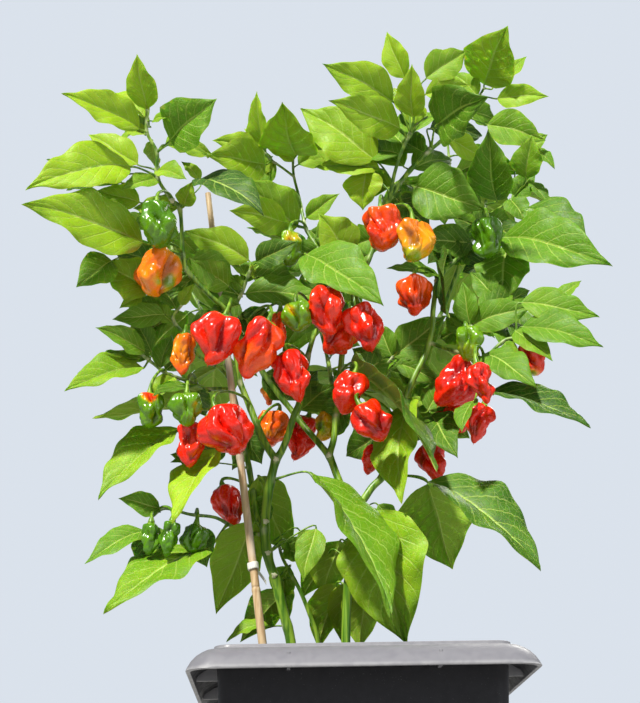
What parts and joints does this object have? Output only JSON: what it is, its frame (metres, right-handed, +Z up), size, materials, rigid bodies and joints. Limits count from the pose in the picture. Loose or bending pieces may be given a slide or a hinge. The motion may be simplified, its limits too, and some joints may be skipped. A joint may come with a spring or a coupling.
{
  "type": "potted chilli pepper plant",
  "caption": "Branched chilli pepper plant with lumpy green to red pods, growing with a bamboo cane in a square moulded pot.",
  "frame": {"origin": "middle of the pot's underside, on the ground", "axes": "+Z up along the plant, -Y towards the viewer of the picture, +X to the viewer's right"},
  "size_m": [0.5626, 0.3674, 0.9291],
  "materials": {
    "plant": "satin leaf and stem",
    "pod_green": "glossy skin",
    "pod_orange": "glossy skin",
    "pod_red": "glossy skin",
    "pot": "satin, dusty",
    "soil": "rough crumbs",
    "cane": "dry bamboo",
    "tie": "matt"
  },
  "bodies": {
    "root": {"stem_left": "plant", "stem_right": "plant", "stem_thin": "plant", "shoot_left_top": "plant", "shoot_left_inner": "plant", "shoot_left_mid": "plant", "shoot_left_low": "plant", "shoot_lower_left": "plant", "shoot_middle": "plant", "shoot_upper": "plant", "shoot_right_top": "plant", "shoot_right": "plant", "shoot_centre_right": "plant", "shoot_back_left": "plant", "shoot_back_middle": "plant", "shoot_back_right": "plant", "pod_01": "pod_green", "pod_02": "pod_orange", "pod_03": "pod_orange", "pod_04": "pod_red", "pod_05": "pod_red", "pod_06": "pod_red", "pod_07": "pod_green", "pod_08": "pod_red", "pod_09": "pod_red", "pod_10": "pod_red", "pod_11": "pod_red", "pod_12": "pod_orange", "pod_13": "pod_red", "pod_14": "pod_green", "pod_15": "pod_green", "pod_16": "pod_red", "pod_17": "pod_red", "pod_18": "pod_red", "pod_19": "pod_red", "pod_20": "pod_red", "pod_21": "pod_red", "pod_22": "pod_red", "pod_23": "pod_red", "pod_24": "pod_red", "pod_25": "pod_red", "pod_26": "pod_green", "pod_27": "pod_green", "pod_28": "pod_red", "pod_29": "pod_green", "pod_30": "pod_green", "pod_31": "pod_green", "pod_32": "pod_orange", "pod_33": "pod_red", "pod_34": "pod_orange", "pod_35": "pod_orange", "pod_36": "pod_red", "pod_37": "pod_red", "pod_38": "pod_green", "pot": "pot", "soil": "soil", "cane": "cane", "cane_tie": "tie"}
  },
  "joints": []
}
